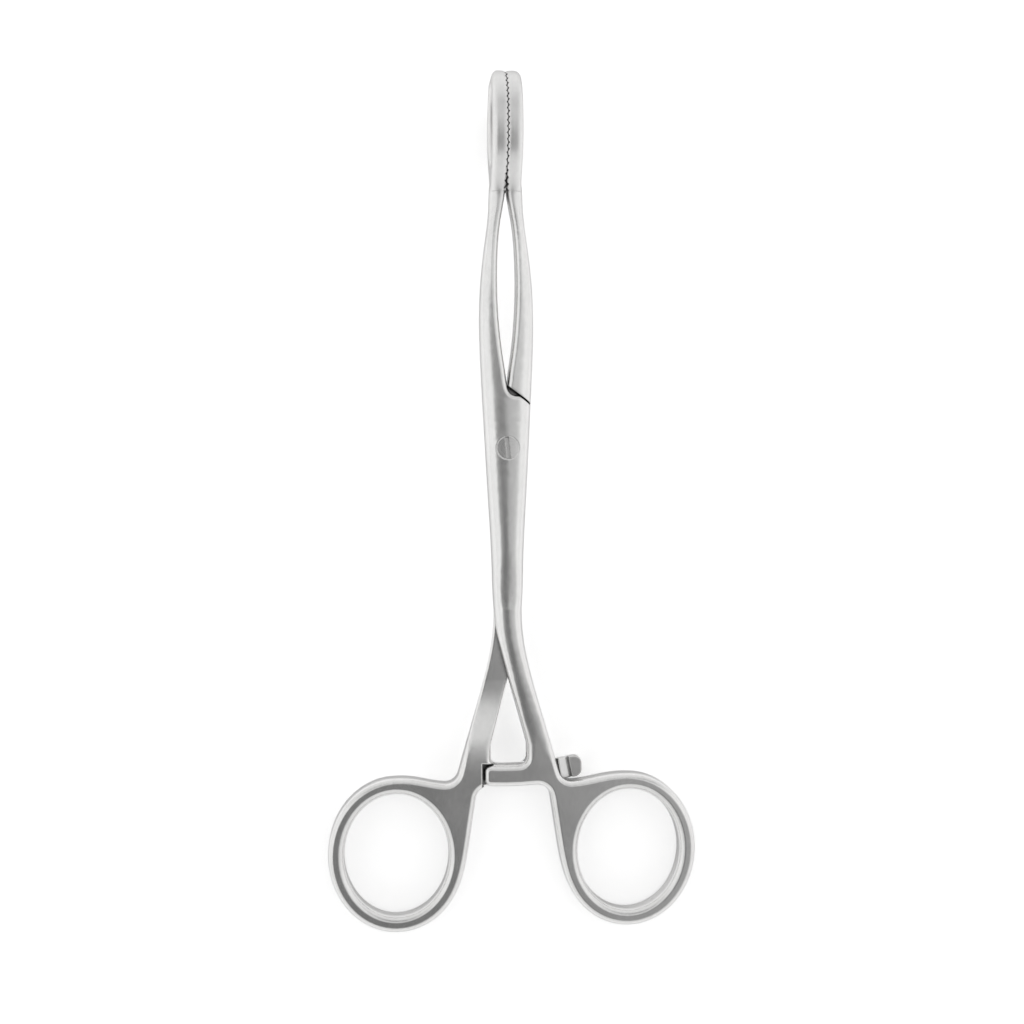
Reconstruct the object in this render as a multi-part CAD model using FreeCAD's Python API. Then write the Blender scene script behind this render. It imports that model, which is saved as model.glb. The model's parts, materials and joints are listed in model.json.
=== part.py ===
import FreeCAD, Part

import math
import os

from FreeCAD import Rotation, Vector

# Tongue forceps, 165 mm long: two crossed forgings on one lap joint, closed on their ratchet.
# Each half is drawn in its own frame: the hinge axis is Z at the origin, the jaw points along +Y,
# the finger ring lies on the +X side, the mating plane is Z = 0 and the crowned outside is +Z.
# The lower half is the same forging turned over about Y, with a longer ratchet bar.

# Lengths from the hinge: the jaws' tips, the shanks' crossing and the ratchet bars
JAW_TIP_Y = 72.9
CROSSING_Y = -31.0
BAR_RADIUS = 63.0

# Joint: half the thickness of both halves together, and the running gap between them
JOINT_HALF_THICK = 3.0
JOINT_GAP = 0.04
HINGE_HALF_WIDTH = 4.22
CROSSING_HALF_WIDTH = 2.68
JOINT_CROWN = 2.4

# Body stations from inside the jaws to the hinge: share of the way from the hinge to the neck,
# half width, half thickness, and crown number (2 is an ellipse, more is flatter)
NECK_LENGTH = 22.4
NECK_Y = JAW_TIP_Y - NECK_LENGTH
ARM_STATIONS = [
    (1.067, 2.75, 3.3, 2.5),
    (1.03, 2.98, 2.75, 2.3),
    (1.0, 3.16, 2.42, 2.3),
    (0.91, 3.36, 2.3, 2.5),
    (0.77, 4.18, 2.4, 2.8),
    (0.625, 4.97, 2.6, 3.0),
    (0.465, 5.22, 2.8, 2.9),
    (0.307, 5.0, 0.97 * JOINT_HALF_THICK, 2.6),
    (0.158, 4.63, JOINT_HALF_THICK, JOINT_CROWN),
    (0.0, HINGE_HALF_WIDTH, JOINT_HALF_THICK, JOINT_CROWN),
]

# Body stations from the hinge to the crossing: share of that way, and half width
JOINT_STATIONS = [(0.355, 3.6), (0.71, 3.05), (1.0, CROSSING_HALF_WIDTH)]

# Lens-shaped gap between the arms: share of the way to the neck, and half width
ARM_GAP = [(0.954, 0.34), (0.857, 1.18), (0.733, 1.72), (0.614, 1.84), (0.485, 1.58), (0.356, 0.9)]
ARM_GAP_TOP = 0.5
ARM_EDGE_RADIUS = 0.9
ARM_EDGE_END = 3.0

# Lap joint: the hollow edge of the outer plate, and the slanting shoulder that it closes on
CROTCH_Y = 12.0
CROTCH_RISE = 1.8
CROTCH_FALL = 1.25
CROTCH_SIDE = 0.45
SHOULDER_SLOPE = 0.72
SHOULDER_GAP = 0.5
SHOULDER_HOLLOW = 1.9
LAP_LENGTH = 44.8
RAMP_LENGTH = 17.0
RAMP_EASE = 7.0
LAP_EDGE_RADIUS = 0.45

# Shank from the crossing to its foot at the handle: share of the way down, share of the way out,
# and half width
SHANK_HALF_WIDTH = 2.32
SHANK_FOOT_X = 5.85
SHANK_FOOT_RISE = 6.0
SHANK_FOOT_Y = -(BAR_RADIUS - SHANK_FOOT_RISE)
SHANK_FOOT_CROWN = 4.6
SHANK_STATIONS = [
    (0.0, 0.0, CROSSING_HALF_WIDTH),
    (0.135, 0.034, 2.6),
    (0.27, 0.128, 2.46),
    (0.42, 0.28, 2.36),
    (0.6, 0.493, SHANK_HALF_WIDTH),
    (0.79, 0.734, SHANK_HALF_WIDTH),
    (1.0, 1.0, SHANK_HALF_WIDTH),
]
SHANK_SLOPE = SHANK_FOOT_X * (1 - 0.734) / ((CROSSING_Y - SHANK_FOOT_Y) * (1 - 0.79))

# Handle: a flat plate with bevelled edges round its finger hole, and its web to the shank
HANDLE_HALF_THICK = 2.4
RING_DROP = 14.7
RING_Y = -(BAR_RADIUS + RING_DROP)
UPPER_RING_X = 23.2
LOWER_RING_X = 21.6
RING_LEAN = 2.5
HOLE_HALF_WIDTH = 10.0
HOLE_HALF_HEIGHT = 11.65
RING_BAND = 3.05
RING_INNER_BAND = 3.6
RING_LEAVE = 50.0
OUTER_CORNER_RADIUS = 2.6
INNER_CORNER_RADIUS = 2.6
WEB_TOP_DROP = 1.35
WEB_TOP_EASE = 0.45
WEB_SIDE_RISE = 7.7
WEB_SIDE_OUT = 1.1
WEB_SIDE_LEAN = 0.85
RING_EASE = 5.0
WEB_SIDE_EASE = 7.0
BEVEL_WIDTH = 0.9
HOLE_BEVEL_WIDTH = 1.05
BEVEL_DEPTH = 0.5
BEVEL_ROUND = 1.1

# Ratchet: the bars are arcs about the hinge axis, with saw teeth on their facing sides
BAR_WIDTH = 4.1
BAR_GAP = 0.12
UPPER_BAR_END = 4.87
LOWER_BAR_END = 14.3
BAR_ROOT_X = 2.3
BAR_END_GAP = 0.38
BAR_SIDE_GAP = 0.25
BAR_TRIM = 0.5
BAR_CORNER_RADIUS = 1.4
WINDOW_CORNER_RADIUS = 1.5
TOOTH_PITCH = 2.2
TOOTH_DEPTH = 0.8
NOSE_LENGTH = 2.1
UPPER_TEETH = 3
LOWER_TEETH = 4

# Jaw: an oval ring on edge, drawn from its tip down to the neck as drop and half depth
JAW_THICK = 2.95
JAW_HALF_DEPTH = 7.5
JAW_OUTLINE = [(23.5, 2.2), (20.9, 3.7), (16.9, 6.4), (11.1, JAW_HALF_DEPTH), (4.1, 5.78)]
JAW_TIP_RADIUS = 2.4
JAW_OUTER_ROUND = 1.25
JAW_WINDOW_ROUND = 0.7
JAW_INNER_ROUND = 1.4
WINDOW_TIP_RIM = 2.6
WINDOW_SIDE_RIM = 2.6
WINDOW_HALF_LENGTH = 7.9

# Serrations: a zigzag across the closing faces, which flare apart below the window
SERRATION_PITCH = 1.16
SERRATION_DEPTH = 0.55
SERRATION_GAP = 0.07
SERRATION_LENGTH = 23.5
SERRATION_FLARE = 0.09
FLARE_LENGTH = 3.4

# Screw: shank, head ground flush with the joint's crown, and slot
SCREW_RADIUS = 1.5
SCREW_CLEARANCE = 0.03
HEAD_RADIUS = 2.13
HEAD_SEAT_Z = 1.5
SLOT_WIDTH = 0.8
SLOT_FLOOR_Z = 2.1
SLOT_TURN = 6.0

# Reach of a cutting solid past what it cuts, and how near two places count as one
PAST = 20.0
SAME = 0.01


def line(start, end):
    return Part.LineSegment(Vector(*start), Vector(*end)).toShape()


def arc(start, middle, end):
    return Part.Arc(Vector(*start), Vector(*middle), Vector(*end)).toShape()


def curve(points):
    """A smooth edge through the points."""
    spline = Part.BSplineCurve()
    spline.interpolate(Points=[Vector(*point) for point in points])
    return spline.toShape()


def bezier(poles):
    path = Part.BezierCurve()
    path.setPoles(poles)
    return path.toShape()


def prism(edges, along):
    """The solid swept by the face that the edges enclose."""
    face = Part.Face(Part.Wire(edges))
    return face.extrude(Vector(*along))


def polygon_prism(points, along):
    places = [Vector(*point) for point in points]
    face = Part.Face(Part.makePolygon(places + places[:1]))
    return face.extrude(Vector(*along))


def crowned_section(y, centre_x, half_width, half_thick, crown):
    """A closed rounded outline across Y, flatter on top with a higher crown number."""
    steps = 16
    points = []
    for step in range(steps):
        angle = 2 * math.pi * step / steps
        across, up = math.cos(angle), math.sin(angle)
        x = half_width * math.copysign(abs(across) ** (2 / crown), across)
        z = half_thick * math.copysign(abs(up) ** (2 / crown), up)
        points.append(Vector(centre_x + x, y, z))
    outline = Part.BSplineCurve()
    turns = [step / steps for step in range(steps + 1)]
    outline.interpolate(Points=points, PeriodicFlag=True, Parameters=turns)
    return Part.Wire(outline.toShape())


def body():
    """The crowned body of the joint and both arms together."""
    sections = []
    for share, half_width, half_thick, crown in ARM_STATIONS:
        sections.append(crowned_section(share * NECK_Y, 0, half_width, half_thick, crown))
    for share, half_width in JOINT_STATIONS:
        y = share * CROSSING_Y
        sections.append(crowned_section(y, 0, half_width, JOINT_HALF_THICK, JOINT_CROWN))
    return Part.makeLoft(sections, True)


def arm():
    """The half's share of the body, with the inner edges of its arm rounded."""
    share = body().common(outer_plan())
    widest_gap = max(half_gap for _, half_gap in ARM_GAP)

    def inner_edge(point):
        beside_gap = CROTCH_Y + ARM_EDGE_END < point.y < NECK_Y - ARM_EDGE_END
        return beside_gap and -widest_gap - ARM_EDGE_RADIUS < point.x < 0

    return share.makeFillet(ARM_EDGE_RADIUS, edges_at(share, inner_edge))


def shank():
    """The crowned shank from the crossing to the handle, milled to the lap, with its edges eased."""
    sections = []
    for down, out, half_width in SHANK_STATIONS:
        y = CROSSING_Y + (SHANK_FOOT_Y - CROSSING_Y) * down
        half_thick = JOINT_HALF_THICK + (HANDLE_HALF_THICK - JOINT_HALF_THICK) * down
        crown = JOINT_CROWN + (SHANK_FOOT_CROWN - JOINT_CROWN) * down**2
        sections.append(crowned_section(y, SHANK_FOOT_X * out, half_width, half_thick, crown))
    milled = Part.makeLoft(sections, True).cut(lap_recess())

    def facing_edge(point):
        on_shank = SHANK_FOOT_Y + SAME < point.y < CROSSING_Y - SAME
        on_crease = abs(point.y + LAP_LENGTH) < SAME
        return on_shank and not on_crease and point.z < JOINT_GAP and abs(point.z) > SAME

    return milled.makeFillet(LAP_EDGE_RADIUS, edges_at(milled, facing_edge))


def edges_at(shape, test):
    """The edges whose middle point passes the test."""
    found = []
    for edge in shape.Edges:
        middle = edge.valueAt((edge.FirstParameter + edge.LastParameter) / 2)
        if test(middle):
            found.append(edge)
    return found


def round_uprights(shape, places, radius):
    """Round the upright edges that stand at the given places."""
    def near(point):
        return any(math.hypot(point.x - x, point.y - y) < SAME for x, y in places)

    return shape.makeFillet(radius, edges_at(shape, near))


def on_bar(radius, x):
    """The place at this distance across on a circle about the hinge axis, on the handle's side."""
    return x, -math.sqrt(radius**2 - x**2)


def ring_axes(ring_x):
    """The finger ring's centre, and its leaning directions towards its top and its outer side."""
    lean = math.radians(RING_LEAN)
    to_top = Vector(math.sin(lean), math.cos(lean), 0)
    to_side = Vector(math.cos(lean), -math.sin(lean), 0)
    return Vector(ring_x, RING_Y, 0), to_top, to_side


def oval(ring_x, half_height, half_width):
    centre, to_top, to_side = ring_axes(ring_x)
    return Part.Ellipse(centre + to_top * half_height, centre + to_side * half_width, centre)


def handle(ring_x, bar_end):
    """Shank foot, web, finger ring and ratchet bar as one plate, bevelled alike on both faces."""
    outer_bar = BAR_RADIUS + BAR_WIDTH / 2
    inner_bar = BAR_RADIUS - BAR_WIDTH / 2
    top_y = SHANK_FOOT_Y + 1

    def beside_shank(side, y):
        return SHANK_FOOT_X + side * SHANK_HALF_WIDTH - SHANK_SLOPE * (y - SHANK_FOOT_Y), y

    outer_top = beside_shank(1, top_y)
    outer_corner = beside_shank(1, -(BAR_RADIUS + WEB_TOP_DROP))
    inner_top = beside_shank(-1, top_y)
    inner_foot = beside_shank(-1, SHANK_FOOT_Y)
    window_corner = on_bar(inner_bar, inner_foot[0])
    web_inside = (ring_x - HOLE_HALF_WIDTH - RING_INNER_BAND - WEB_SIDE_OUT, RING_Y + WEB_SIDE_RISE)
    inner_corner = on_bar(outer_bar, web_inside[0] - WEB_SIDE_LEAN)
    end_low = on_bar(outer_bar, -bar_end)
    end_high = on_bar(inner_bar, -bar_end)

    def at(place):
        return place[0], place[1], 0

    ring_half_height = HOLE_HALF_HEIGHT + RING_BAND
    ring_half_width = HOLE_HALF_WIDTH + RING_BAND
    centre, to_top, to_side = ring_axes(ring_x)
    ring_top = centre + to_top * ring_half_height
    corner = Vector(*at(outer_corner))
    top_ease = WEB_TOP_EASE * (ring_top.x - corner.x)
    web_top = bezier([corner, corner + Vector(top_ease, 0, 0), ring_top - to_side * top_ease, ring_top])
    leave = math.radians(RING_LEAVE)
    ring_oval = oval(ring_x, ring_half_height, ring_half_width)
    ring = Part.ArcOfEllipse(ring_oval, 0, math.pi + leave).toShape()
    ring_low = (
        centre
        - to_top * ring_half_height * math.cos(leave)
        - to_side * ring_half_width * math.sin(leave)
    )
    ring_way = to_top * ring_half_height * math.sin(leave) - to_side * ring_half_width * math.cos(leave)
    inside = Vector(*at(web_inside))
    inside_way = Vector(*at(inner_corner)) - inside
    web_side = bezier([
        ring_low,
        ring_low + ring_way.normalize() * RING_EASE,
        inside - inside_way.normalize() * WEB_SIDE_EASE,
        inside,
    ])
    edges = [
        line(at(outer_top), at(outer_corner)),
        web_top,
        ring,
        web_side,
        line(at(web_inside), at(inner_corner)),
        arc(at(inner_corner), at(on_bar(outer_bar, 0)), at(end_low)),
        line(at(end_low), at(end_high)),
        arc(at(end_high), at(on_bar(inner_bar, 0)), at(window_corner)),
        line(at(window_corner), at(inner_foot)),
        line(at(inner_foot), at(inner_top)),
        line(at(inner_top), at(outer_top)),
    ]
    plate = prism(edges, (0, 0, HANDLE_HALF_THICK))
    plate = round_uprights(plate, [outer_corner], OUTER_CORNER_RADIUS)
    plate = round_uprights(plate, [inner_corner], INNER_CORNER_RADIUS)
    plate = round_uprights(plate, [window_corner], WINDOW_CORNER_RADIUS)
    plate = round_uprights(plate, [end_low, end_high], BAR_CORNER_RADIUS)

    def below_foot(point):
        return point.y < top_y - SAME

    def round_hole(point):
        return math.hypot(point.x - centre.x, point.y - centre.y) < HOLE_HALF_HEIGHT + SAME

    plate = bevelled(plate, BEVEL_WIDTH, below_foot)
    hole = prism([oval(ring_x, HOLE_HALF_HEIGHT, HOLE_HALF_WIDTH).toShape()], (0, 0, HANDLE_HALF_THICK))
    plate = bevelled(plate.cut(hole), HOLE_BEVEL_WIDTH, round_hole)
    return plate.fuse(plate.mirror(Vector(0, 0, 0), Vector(0, 0, 1)))


def bevelled(plate, width, chosen):
    """Bevel the chosen upper edges of a half plate, then round what is left of its wall."""
    def on_face(point):
        return abs(point.z - HANDLE_HALF_THICK) < SAME and chosen(point)

    def on_bevel(point):
        return abs(point.z - (HANDLE_HALF_THICK - BEVEL_DEPTH)) < SAME and chosen(point)

    plate = plate.makeChamfer(BEVEL_DEPTH, width, edges_at(plate, on_face))
    return plate.makeFillet(BEVEL_ROUND, edges_at(plate, on_bevel))


def bar_sector(reach_out, from_x, to_x, low, high):
    """A block of the ring in which the bars run, between two places across and two heights."""
    outer = BAR_RADIUS + BAR_WIDTH / 2 + reach_out
    inner = BAR_RADIUS - BAR_WIDTH / 2 - reach_out
    middle = (from_x + to_x) / 2

    def at(place):
        return place[0], place[1], low

    edges = [
        arc(at(on_bar(outer, from_x)), at(on_bar(outer, middle)), at(on_bar(outer, to_x))),
        line(at(on_bar(outer, to_x)), at(on_bar(inner, to_x))),
        arc(at(on_bar(inner, to_x)), at(on_bar(inner, middle)), at(on_bar(inner, from_x))),
        line(at(on_bar(inner, from_x)), at(on_bar(outer, from_x))),
    ]
    return prism(edges, (0, 0, high - low))


def ratchet_notches(bar_end, count):
    """Saw-tooth notches in the bar's facing side, each with its steep side towards the ring."""
    face = BAR_GAP / 2
    near, far = -(BAR_RADIUS - BAR_WIDTH), -(BAR_RADIUS + BAR_WIDTH)
    notch = polygon_prism(
        [
            (0, near, face - TOOTH_DEPTH),
            (0, near, face + TOOTH_DEPTH),
            (TOOTH_PITCH, near, face),
            (TOOTH_PITCH, near, face - TOOTH_DEPTH),
        ],
        (0, far - near, 0),
    )
    notches = []
    for number in range(count):
        place = -bar_end + NOSE_LENGTH + number * TOOTH_PITCH
        turned = notch.copy()
        turned.rotate(Vector(0, 0, 0), Vector(0, 0, 1), math.degrees(place / BAR_RADIUS))
        notches.append(turned)
    return notches


def lap_recess():
    """What is milled off the mating side: the lap, up to its shoulder, and the ramp of the shank."""
    low_gap = JOINT_GAP / 2
    shoulder_y = CROTCH_Y
    lap_low_y = shoulder_y - SHOULDER_SLOPE * PAST
    plan = polygon_prism(
        [
            (PAST, shoulder_y + SHOULDER_SLOPE * PAST, -PAST),
            (-PAST, lap_low_y, -PAST),
            (-PAST, 2 * lap_low_y, -PAST),
            (PAST, 2 * lap_low_y, -PAST),
        ],
        (0, 0, PAST + low_gap),
    )
    ramp_top = Vector(-PAST, -LAP_LENGTH, low_gap)
    ramp_foot = Vector(-PAST, -LAP_LENGTH - RAMP_LENGTH, -HANDLE_HALF_THICK)
    ease = Vector(0, RAMP_EASE, 0)
    high = Vector(-PAST, lap_low_y, low_gap)
    profile = [
        line(high, ramp_top),
        bezier([ramp_top, ramp_top - ease, ramp_foot + ease, ramp_foot]),
        line(ramp_foot, (-PAST, ramp_foot.y, -PAST)),
        line((-PAST, ramp_foot.y, -PAST), (-PAST, high.y, -PAST)),
        line((-PAST, high.y, -PAST), high),
    ]
    return plan, prism(profile, (2 * PAST, 0, 0))


def outer_plan():
    """The half's outline seen from above, down to the crossing: its arm, and the lap's hollow edge."""
    gap = [(-half_gap, share * NECK_Y) for share, half_gap in ARM_GAP]
    shoulder_y = CROTCH_Y - SHOULDER_GAP
    shoulder_end = (SHOULDER_HOLLOW, shoulder_y - SHOULDER_SLOPE * SHOULDER_HOLLOW)
    shoulder_far = (PAST, shoulder_y - SHOULDER_SLOPE * PAST)
    crotch = [
        (-CROTCH_SIDE * 2 / 3, CROTCH_Y + CROTCH_RISE),
        (-JOINT_GAP, CROTCH_Y),
        (CROTCH_SIDE, CROTCH_Y - CROTCH_FALL),
    ]
    gap_top = (0, NECK_Y + ARM_GAP_TOP)
    edges = [curve([(x, y, -PAST) for x, y in [gap_top] + gap + crotch + [shoulder_end]])]
    corners = [shoulder_end, shoulder_far, (PAST, -2 * PAST), (-PAST, -2 * PAST)]
    corners += [(-PAST, 4 * PAST), (0, 4 * PAST), gap_top]
    for start, end in zip(corners, corners[1:]):
        edges.append(line((*start, -PAST), (*end, -PAST)))
    return prism(edges, (0, 0, 2 * PAST))


def jaw():
    """The fenestrated jaw: an oval ring standing on edge, blended into the arm's neck."""
    over = SERRATION_DEPTH
    side = [(JAW_TIP_Y - drop, half_depth) for drop, half_depth in JAW_OUTLINE]
    around = side + [(JAW_TIP_Y, 0)] + [(y, -z) for y, z in reversed(side)]
    low_y, low_depth = side[0]
    outline = [
        curve([(-JAW_THICK, y, z) for y, z in around]),
        line((-JAW_THICK, low_y, -low_depth), (-JAW_THICK, low_y, low_depth)),
    ]
    blank = prism(outline, (JAW_THICK + over, 0, 0))
    window_y = JAW_TIP_Y - WINDOW_TIP_RIM - WINDOW_HALF_LENGTH
    window_half_depth = JAW_HALF_DEPTH - WINDOW_SIDE_RIM
    window_oval = Part.Ellipse(
        Vector(-JAW_THICK, window_y + WINDOW_HALF_LENGTH, 0),
        Vector(-JAW_THICK, window_y, window_half_depth),
        Vector(-JAW_THICK, window_y, 0),
    )

    def rim_edges(shape, x, inside_rim):
        def chosen(point):
            along = (point.y - window_y) / (WINDOW_HALF_LENGTH + SAME)
            across = point.z / (window_half_depth + SAME)
            on_side = abs(point.x - x) < SAME and point.y > low_y + SAME
            return on_side and (math.hypot(along, across) < 1) == inside_rim

        return edges_at(shape, chosen)

    blank = blank.makeFillet(JAW_OUTER_ROUND, rim_edges(blank, -JAW_THICK, False))
    blank = blank.makeFillet(JAW_INNER_ROUND, rim_edges(blank, over, False))
    blank = blank.cut(prism([window_oval.toShape()], (JAW_THICK + over, 0, 0)))
    blank = blank.makeFillet(JAW_WINDOW_ROUND, rim_edges(blank, -JAW_THICK, True))
    profile = polygon_prism(
        [(-JAW_THICK, 0, -PAST), (-JAW_THICK, JAW_TIP_Y, -PAST), (over, JAW_TIP_Y, -PAST), (over, 0, -PAST)],
        (0, 0, 2 * PAST),
    )
    profile = round_uprights(profile, [(-JAW_THICK, JAW_TIP_Y)], JAW_TIP_RADIUS)
    return blank.common(profile)


def past_closing_face(phase):
    """What lies past the jaw's closing face: a zigzag of crosswise teeth."""
    low_y = JAW_TIP_Y - SERRATION_LENGTH
    flare_y = low_y + FLARE_LENGTH
    rise = phase * SERRATION_DEPTH / 2
    steps = 2 * int(SERRATION_LENGTH / SERRATION_PITCH) + 2
    points = [(PAST, low_y, -PAST)]
    for step in range(steps + 1):
        y = low_y + step * SERRATION_PITCH / 2
        face = -SERRATION_GAP / 2 - SERRATION_FLARE * max(0, flare_y - y)
        side = rise if step % 2 == 0 else -rise
        points.append((face + side, y, -PAST))
    points.append((PAST, points[-1][1], -PAST))
    return polygon_prism(points, (0, 0, 2 * PAST))


def half(ring_x, bar_end, teeth, other_bar_end, serration_phase):
    """One forging of the pair, in its own frame, without its screw hole."""
    recess = lap_recess()
    arm_and_jaw = arm().fuse(jaw()).cut(past_closing_face(serration_phase)).cut(recess)
    forging = arm_and_jaw.fuse([shank(), handle(ring_x, bar_end).cut(recess)])
    facing = BAR_GAP / 2
    own_bar = bar_sector(BAR_TRIM, -bar_end - BAR_TRIM, BAR_ROOT_X, -PAST, facing)
    other_reach = other_bar_end + BAR_END_GAP
    other_bar = bar_sector(BAR_SIDE_GAP, -bar_end - BAR_TRIM, other_reach, -PAST, facing)
    forging = forging.cut([own_bar, other_bar])
    return forging.cut(ratchet_notches(bar_end, teeth))


def upright_cylinder(radius, low, high):
    return Part.makeCylinder(radius, high - low, Vector(0, 0, low))


def upper_half():
    """The outer half: the screw turns in its bore, and the head sinks into its counterbore."""
    forging = half(UPPER_RING_X, UPPER_BAR_END, UPPER_TEETH, LOWER_BAR_END, 1)
    bore = upright_cylinder(SCREW_RADIUS + SCREW_CLEARANCE, -PAST, PAST)
    counterbore = upright_cylinder(HEAD_RADIUS + SCREW_CLEARANCE, HEAD_SEAT_Z, PAST)
    return forging.cut([bore, counterbore])


def lower_half():
    """The half behind, turned over: the screw is seated in it."""
    forging = half(LOWER_RING_X, LOWER_BAR_END, LOWER_TEETH, UPPER_BAR_END, -1)
    forging.rotate(Vector(0, 0, 0), Vector(0, 1, 0), 180)
    return forging.cut(upright_cylinder(SCREW_RADIUS, -PAST, PAST))


def joint_screw():
    """The slotted joint screw, both ends ground flush with the crowned joint."""
    seat = HEAD_SEAT_Z + SCREW_CLEARANCE
    stem = upright_cylinder(SCREW_RADIUS, -PAST, seat)
    head = upright_cylinder(HEAD_RADIUS, seat, PAST)
    screw = stem.fuse(head).common(body())
    slot = Part.makeBox(SLOT_WIDTH, 2 * PAST, PAST, Vector(-SLOT_WIDTH / 2, -PAST, SLOT_FLOOR_Z))
    slot.rotate(Vector(0, 0, 0), Vector(0, 0, 1), SLOT_TURN)
    return screw.cut(slot)


def lying():
    """The placement that lays the forceps down, on the jaws' lower rims and the rings' far edges."""
    ring_end = RING_Y - HOLE_HALF_HEIGHT - RING_BAND
    rest_y = ring_end + BEVEL_WIDTH
    drop = JAW_HALF_DEPTH - HANDLE_HALF_THICK
    widest_drop = JAW_OUTLINE[3][0]
    tilt = math.atan2(drop, JAW_TIP_Y - widest_drop - rest_y)
    lowest = rest_y * math.sin(tilt) - HANDLE_HALF_THICK * math.cos(tilt)
    middle_y = (JAW_TIP_Y + ring_end) / 2 * math.cos(tilt)
    middle_x = (UPPER_RING_X - LOWER_RING_X) / 2
    turn = Rotation(Vector(1, 0, 0), math.degrees(tilt))
    return FreeCAD.Placement(Vector(-middle_x, -middle_y, -lowest), turn)


def main():
    os.makedirs("parts", exist_ok=True)
    nodes = {
        "upper_half": upper_half(),
        "lower_half": lower_half(),
        "joint_screw": joint_screw(),
    }
    for name, shape in nodes.items():
        shape.transformShape(lying().toMatrix())
        shape.exportStep("parts/" + name + ".step")


main()
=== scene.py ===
import json
import math

import bpy
from mathutils import Matrix, Vector

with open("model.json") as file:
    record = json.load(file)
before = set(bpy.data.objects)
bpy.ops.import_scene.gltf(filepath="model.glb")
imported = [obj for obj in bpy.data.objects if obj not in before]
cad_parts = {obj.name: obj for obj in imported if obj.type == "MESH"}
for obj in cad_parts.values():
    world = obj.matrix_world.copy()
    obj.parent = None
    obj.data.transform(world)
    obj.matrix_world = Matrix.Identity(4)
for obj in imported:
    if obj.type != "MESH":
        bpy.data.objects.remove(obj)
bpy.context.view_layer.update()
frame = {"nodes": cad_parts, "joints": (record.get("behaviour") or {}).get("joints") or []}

# Tongue forceps lying closed on a pale table, seen from above, a few degrees round to their left.
# Lengths are in metres, angles in degrees where a comment or docstring says so. The instrument's
# own axes come from its joint: Z is the screw's axis, Y runs along the instrument to the jaws and
# X runs across it.

MM = 0.001

# Camera: how far it stands from the instrument's plane, what it looks at, how wide its view is
# there, how far round the instrument's long axis it stands, and its roll
CAMERA_DISTANCE = 280 * MM
CAMERA_TARGET = (0.97 * MM, -12.3 * MM)
VIEW_WIDTH = 198.07 * MM
CAMERA_TURN = math.radians(5.5)
CAMERA_ROLL = math.radians(-0.3)

# Light: soft boxes as (turn from the vertical across, turn along, distance, width, length, radiance),
# turns in degrees, and the level of the studio's own light away from its darker parts
SOFT_BOXES = {
    "left_soft_box": (-62, 0, 0.9, 0.7, 1.5, 0.06),
    "right_soft_box": (66, 8, 0.9, 0.5, 1.4, 0.06),
}
WORLD_LEVEL = 1.0

# Darker parts of the studio overhead, as (turn across, turn along, half angle across, half angle
# along, share of the half angle where the soft edge starts, share of the light that is left),
# angles in degrees
DIM_PARTS = [
    (-15, -15, 22, 29, 0.92, 0.31),
    (12.5, -20, 9, 16, 0.5, 0.7),
    (14, -14, 32, 27, 0.8, 0.6),
    (5, 36, 34, 6, 0.4, 0.35),
    (0, 50, 60, 30, 0.5, 0.86),
    (0, -50, 60, 30, 0.5, 0.86),
]

# Table top: its colour, how much the finish varies, and the white it adds where it is seen
FLOOR_COLOUR = (0.93, 0.93, 0.93)
FLOOR_GRAIN = 900
FLOOR_SPREAD = 0.004
FLOOR_GLOW = 0.42
TABLE_ROUGHNESS = 0.75
TABLE_SHINE = 0.2
TABLE_RADIUS = 6.0
TABLE_SIDES = 96

# Steel: colours, their spread, and the darker tint where the surface is seen edge on
STEEL_COLOUR = (0.785, 0.782, 0.775)
STEEL_SPREAD = 0.035
STEEL_EDGE_TINT = (0.5, 0.5, 0.5, 1.0)
SCREW_COLOUR = (0.77, 0.766, 0.76)
SCREW_SPREAD = 0.04

# Scales of the noises in the steel, in waves to a metre, and the range of a noise that counts
BRUSHING = (7000, 600, 7000)
MOTTLE = (1500, 700, 1500)
GRAIN = 6500
CLOUDS = 140
SCREW_RINGS = 9000
SCREW_CLOUDS = 900
NOISE_LOW = 0.3
NOISE_HIGH = 0.7

# Roughness: from and to in the brushing, what the clouds and the jaws' dull finish add, and the screw's
BRUSHED_ROUGHNESS = (0.2, 0.24)
CLOUD_ROUGHNESS = 0.03
DULL_ROUGHNESS = 0.16
SCREW_ROUGHNESS = (0.2, 0.3)

# Relief of the grain and of the screw's turning rings: strength and height
GRAIN_RELIEF = (0.1, 0.02 * MM)
RING_RELIEF = (0.2, 0.03 * MM)

# Radius of the worn edges, and the painted shade down in gaps, which darkens the colour where little
# open sky is seen:
# how far a wall is felt, the darkest share of the colour, the open sky between which it changes, and
# the rays that find both
EDGE_WEAR = 0.4 * MM
SCREW_EDGE_WEAR = 0.15 * MM
GAP_SHADE_REACH = 1.2 * MM
GAP_SHADE_DARKEST = 0.45
GAP_SHADE_SKY = (0.3, 0.85)
SHORT_RAYS = 8

# Where the polishing wheel blended one form into the next, from the hinge towards the tip, how far
# that reaches fully and at all, and what it adds to the edges' radius
BLENDS = [49.8 * MM, -56.4 * MM]
BLEND_CORE = 1.2 * MM
BLEND_REACH = 4.5 * MM
BLEND_WEAR = 1.1 * MM

# Where the blasted, duller finish of the jaws begins and is full, from the hinge towards the tip
DULL_START = 38 * MM
DULL_FULL = 58 * MM


def instrument_frame():
    """The instrument's own axes and its hinge point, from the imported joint."""
    joint = frame["joints"][0]
    up = Vector(joint["axis"]).normalized()
    across = Vector((1, 0, 0))
    along = up.cross(across).normalized()
    turn = Matrix((across, along, up)).transposed()
    return turn, Vector(joint["pos_m"])


TURN, HINGE = instrument_frame()


def direction(turn_across, turn_along):
    """The direction, from the instrument, at these angles in degrees from the vertical."""
    a, b = math.radians(turn_across), math.radians(turn_along)
    return Vector((math.sin(a) * math.cos(b), math.sin(b), math.cos(a) * math.cos(b)))


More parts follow.
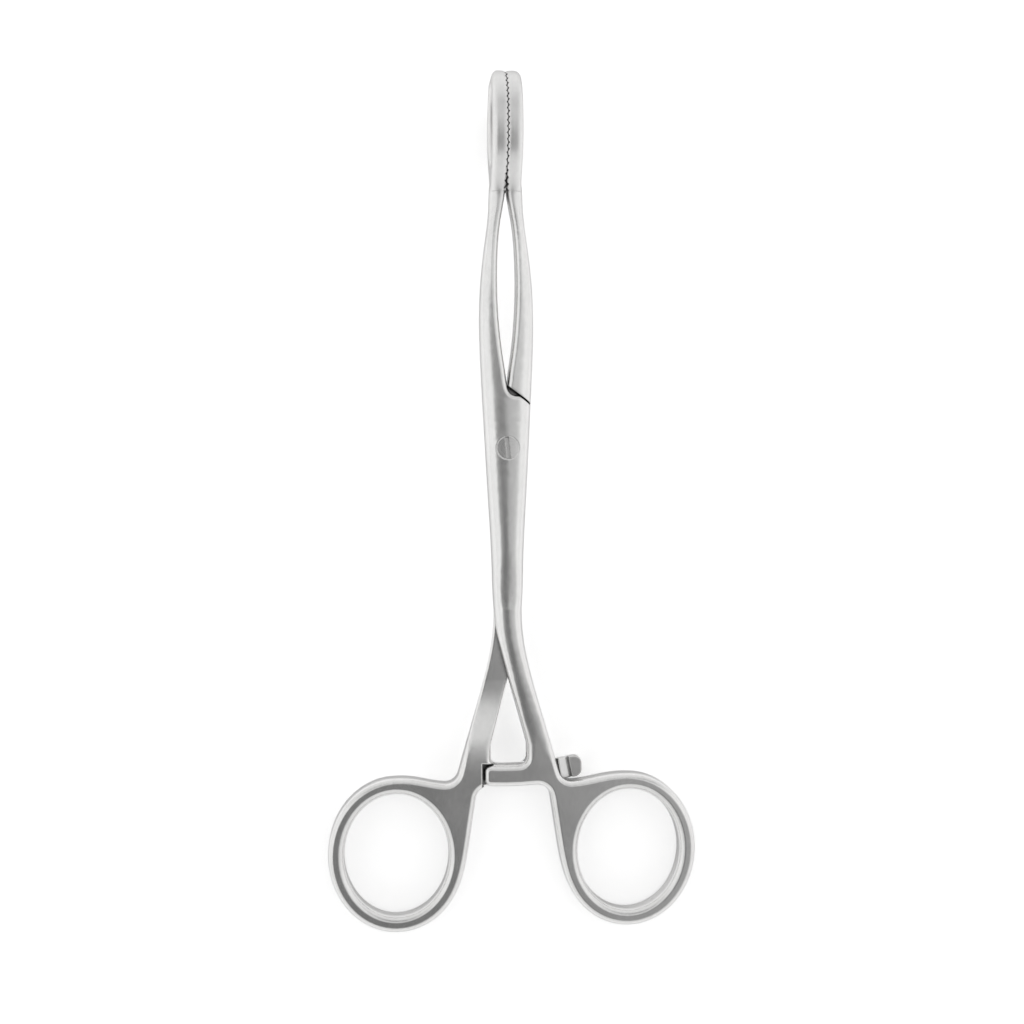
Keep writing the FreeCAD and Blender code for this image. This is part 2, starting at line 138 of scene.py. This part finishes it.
def make_camera():
    data = bpy.data.cameras.new("camera")
    data.sensor_width = 36
    data.lens = data.sensor_width * CAMERA_DISTANCE / VIEW_WIDTH
    data.clip_start = 0.01
    data.clip_end = 20
    camera = bpy.data.objects.new("camera", data)
    bpy.context.scene.collection.objects.link(camera)
    round_turn = Matrix.Rotation(-CAMERA_TURN, 3, "Y")
    target = HINGE + TURN @ Vector((*CAMERA_TARGET, 0))
    place = target + TURN @ (round_turn @ Vector((0, 0, CAMERA_DISTANCE)))
    roll = Matrix.Rotation(CAMERA_ROLL, 3, "Z")
    camera.matrix_world = Matrix.Translation(place) @ (TURN @ round_turn @ roll).to_4x4()
    bpy.context.scene.camera = camera


def make_soft_box(name, turn_across, turn_along, distance, width, length, radiance):
    data = bpy.data.lights.new(name, "AREA")
    data.shape = "RECTANGLE"
    data.size = width
    data.size_y = length
    data.energy = radiance * math.pi * width * length
    lamp = bpy.data.objects.new(name, data)
    bpy.context.scene.collection.objects.link(lamp)
    way = direction(turn_across, turn_along)
    lamp.location = HINGE + way * distance
    lamp.rotation_euler = way.to_track_quat("Z", "Y").to_euler()
    lamp.visible_camera = False


class Nodes:
    """Short calls that add nodes to one shader tree."""

    def __init__(self, tree):
        self.tree = tree

    def add(self, kind, inputs=(), **settings):
        node = self.tree.nodes.new(kind)
        for name, value in settings.items():
            setattr(node, name, value)
        for key, value in dict(inputs).items():
            if isinstance(value, bpy.types.NodeSocket):
                self.tree.links.new(value, node.inputs[key])
            else:
                node.inputs[key].default_value = value
        return node

    def dot(self, vector, way):
        node = self.add("ShaderNodeVectorMath", {0: vector, 1: way}, operation="DOT_PRODUCT")
        return node.outputs["Value"]

    def math(self, operation, first, second):
        return self.add("ShaderNodeMath", {0: first, 1: second}, operation=operation).outputs[0]

    def ramp(self, value, low, high, to_low, to_high):
        node = self.add(
            "ShaderNodeMapRange",
            {"Value": value, "From Min": low, "From Max": high, "To Min": to_low, "To Max": to_high},
            interpolation_type="SMOOTHSTEP",
        )
        return node.outputs["Result"]

    def noise(self, vector, scale, detail):
        node = self.add("ShaderNodeTexNoise", {"Vector": vector, "Scale": scale, "Detail": detail})
        return node.outputs["Fac"]

    def vector(self, operation, first, second):
        node = self.add("ShaderNodeVectorMath", {0: first, 1: second}, operation=operation)
        return node.outputs["Vector"]

    def scaled(self, vector, scale):
        return self.vector("MULTIPLY", vector, scale)

    def length(self, vector):
        node = self.add("ShaderNodeVectorMath", {0: vector}, operation="LENGTH")
        return node.outputs["Value"]

    def worn_relief(self, radius, height, relief):
        """A normal with softened edges of this radius and a fine relief."""
        edges = self.add("ShaderNodeBevel", {"Radius": radius}, samples=SHORT_RAYS)
        worn = edges.outputs["Normal"]
        strength, distance = relief
        bump = self.add(
            "ShaderNodeBump",
            {"Height": height, "Strength": strength, "Distance": distance, "Normal": worn},
        )
        return bump.outputs["Normal"]


def make_world():
    """A white studio with darker parts overhead, seen the same way by every ray."""
    world = bpy.data.worlds.new("studio")
    bpy.context.scene.world = world
    world.use_nodes = True
    nodes = Nodes(world.node_tree)
    way = nodes.add("ShaderNodeTexCoord").outputs["Generated"]
    level = WORLD_LEVEL
    for turn_across, turn_along, half_across, half_along, edge, dim in DIM_PARTS:
        middle = direction(turn_across, turn_along)
        across = Vector((0, 1, 0)).cross(middle).normalized()
        along = middle.cross(across)
        u = nodes.dot(way, across / math.sin(math.radians(half_across)))
        v = nodes.dot(way, along / math.sin(math.radians(half_along)))
        spread = nodes.add("ShaderNodeCombineXYZ", {"X": u, "Y": v}).outputs["Vector"]
        away = nodes.length(spread)
        level = nodes.math("MULTIPLY", level, nodes.ramp(away, edge, 2 - edge, dim, 1.0))
    background = world.node_tree.nodes["Background"]
    world.node_tree.links.new(level, background.inputs["Strength"])
    background.inputs["Color"].default_value = (1, 1, 1, 1)


def new_material(name):
    material = bpy.data.materials.new(name)
    material.use_nodes = True
    nodes = Nodes(material.node_tree)
    shader = material.node_tree.nodes["Principled BSDF"]
    return material, nodes, shader


def tinted(nodes, colour, factor, spread):
    """The colour, a little darker and lighter with a factor from 0 to 1."""
    dark = tuple(c * (1 - spread) for c in colour) + (1.0,)
    light = tuple(min(1.0, c * (1 + spread)) for c in colour) + (1.0,)
    mix = nodes.add("ShaderNodeMix", {"Factor": factor, "A": dark, "B": light}, data_type="RGBA")
    return mix.outputs["Result"]


def painted_gap_shade(nodes, colour):
    """The colour with painted shade, darker down in narrow gaps and notches."""
    sky = nodes.add("ShaderNodeAmbientOcclusion", {"Distance": GAP_SHADE_REACH}, samples=SHORT_RAYS)
    open_sky = sky.outputs["AO"]
    darkest = tuple(c * GAP_SHADE_DARKEST for c in STEEL_COLOUR) + (1.0,)
    unshaded = nodes.ramp(open_sky, *GAP_SHADE_SKY, 0, 1)
    mix = nodes.add("ShaderNodeMix", {"Factor": unshaded, "A": darkest, "B": colour}, data_type="RGBA")
    return mix.outputs["Result"]


def edge_radius(nodes, to_tip):
    """The radius of the worn edges, larger where one form was blended into the next."""
    radius = EDGE_WEAR
    for middle in BLENDS:
        off = nodes.math("ABSOLUTE", nodes.math("SUBTRACT", to_tip, middle), 0)
        radius = nodes.math("ADD", radius, nodes.ramp(off, BLEND_CORE, BLEND_REACH, BLEND_WEAR, 0))
    return radius


def satin_steel():
    """Satin stainless steel: fine brushing along the instrument, bead-blasted grain, soft clouds, and
    painted shade down in gaps.
    """
    material, nodes, shader = new_material("satin_steel")
    place = nodes.add("ShaderNodeTexCoord").outputs["Object"]
    brushing = nodes.noise(nodes.scaled(place, BRUSHING), 1.0, 3.0)
    grain = nodes.noise(place, GRAIN, 2.0)
    clouds = nodes.noise(place, CLOUDS, 3.0)
    brushed = nodes.ramp(brushing, NOISE_LOW, NOISE_HIGH, *BRUSHED_ROUGHNESS)
    cloudy = nodes.ramp(clouds, NOISE_LOW, NOISE_HIGH, 0, CLOUD_ROUGHNESS)
    rough = nodes.math("ADD", brushed, cloudy)
    to_tip = nodes.math("SUBTRACT", nodes.dot(place, TURN.col[1]), HINGE.dot(TURN.col[1]))
    rough = nodes.math("ADD", rough, nodes.ramp(to_tip, DULL_START, DULL_FULL, 0, DULL_ROUGHNESS))
    shader.inputs["Metallic"].default_value = 1.0
    nodes.tree.links.new(rough, shader.inputs["Roughness"])
    mottle = nodes.noise(nodes.scaled(place, MOTTLE), 1.0, 3.0)
    patina = nodes.math("ADD", nodes.math("MULTIPLY", clouds, 0.5), nodes.math("MULTIPLY", mottle, 0.5))
    tone = nodes.ramp(patina, NOISE_LOW, NOISE_HIGH, 0, 1)
    steel = tinted(nodes, STEEL_COLOUR, tone, STEEL_SPREAD)
    # The base colour carries painted shade down in gaps and notches
    nodes.tree.links.new(painted_gap_shade(nodes, steel), shader.inputs["Base Color"])
    shader.inputs["Specular Tint"].default_value = STEEL_EDGE_TINT
    height = nodes.math("ADD", nodes.math("MULTIPLY", brushing, 0.5), grain)
    normal = nodes.worn_relief(edge_radius(nodes, to_tip), height, GRAIN_RELIEF)
    nodes.tree.links.new(normal, shader.inputs["Normal"])
    return material


def turned_steel():
    """The screw's steel, with fine turning rings round the hinge axis."""
    material, nodes, shader = new_material("screw_steel")
    place = nodes.add("ShaderNodeTexCoord").outputs["Object"]
    from_hinge = nodes.vector("SUBTRACT", place, HINGE)
    off_axis = nodes.vector("CROSS_PRODUCT", from_hinge, TURN.col[2])
    radius = nodes.length(off_axis)
    rings = nodes.add(
        "ShaderNodeTexNoise", {"W": radius, "Scale": SCREW_RINGS, "Detail": 1.0}, noise_dimensions="1D"
    ).outputs["Fac"]
    clouds = nodes.noise(place, SCREW_CLOUDS, 2.0)
    shader.inputs["Metallic"].default_value = 1.0
    rough = nodes.ramp(rings, NOISE_LOW, NOISE_HIGH, *SCREW_ROUGHNESS)
    nodes.tree.links.new(rough, shader.inputs["Roughness"])
    nodes.tree.links.new(tinted(nodes, SCREW_COLOUR, clouds, SCREW_SPREAD), shader.inputs["Base Color"])
    normal = nodes.worn_relief(SCREW_EDGE_WEAR, rings, RING_RELIEF)
    nodes.tree.links.new(normal, shader.inputs["Normal"])
    return material


def table_surface():
    material, nodes, shader = new_material("table")
    place = nodes.add("ShaderNodeTexCoord").outputs["Object"]
    grain = nodes.noise(place, FLOOR_GRAIN, 3.0)
    nodes.tree.links.new(tinted(nodes, FLOOR_COLOUR, grain, FLOOR_SPREAD), shader.inputs["Base Color"])
    shader.inputs["Roughness"].default_value = TABLE_ROUGHNESS
    shader.inputs["Specular IOR Level"].default_value = TABLE_SHINE
    path = nodes.add("ShaderNodeLightPath").outputs
    seen = nodes.math("MAXIMUM", path["Is Camera Ray"], path["Is Glossy Ray"])
    seen = nodes.math("MAXIMUM", seen, path["Is Transmission Ray"])
    glow = nodes.math("MULTIPLY", seen, FLOOR_GLOW)
    nodes.tree.links.new(glow, shader.inputs["Emission Strength"])
    shader.inputs["Emission Color"].default_value = (1, 1, 1, 1)
    return material


def make_table():
    """A large round table top, its surface at the instrument's lowest point."""
    turns = [2 * math.pi * step / TABLE_SIDES for step in range(TABLE_SIDES)]
    rim = [(TABLE_RADIUS * math.cos(turn), TABLE_RADIUS * math.sin(turn), 0) for turn in turns]
    mesh = bpy.data.meshes.new("table")
    mesh.from_pydata(rim, [], [list(range(TABLE_SIDES))])
    table = bpy.data.objects.new("table", mesh)
    bpy.context.scene.collection.objects.link(table)
    table.data.materials.append(table_surface())


def dress(node, material):
    """Give a CAD node its material."""
    piece = frame["nodes"][node]
    for slot in piece.material_slots:
        slot.material = material


make_camera()
make_world()
for name, settings in SOFT_BOXES.items():
    make_soft_box(name, *settings)
make_table()
steel = satin_steel()
dress("upper_half", steel)
dress("lower_half", steel)
dress("joint_screw", turned_steel())

bpy.context.scene.view_settings.view_transform = "Standard"
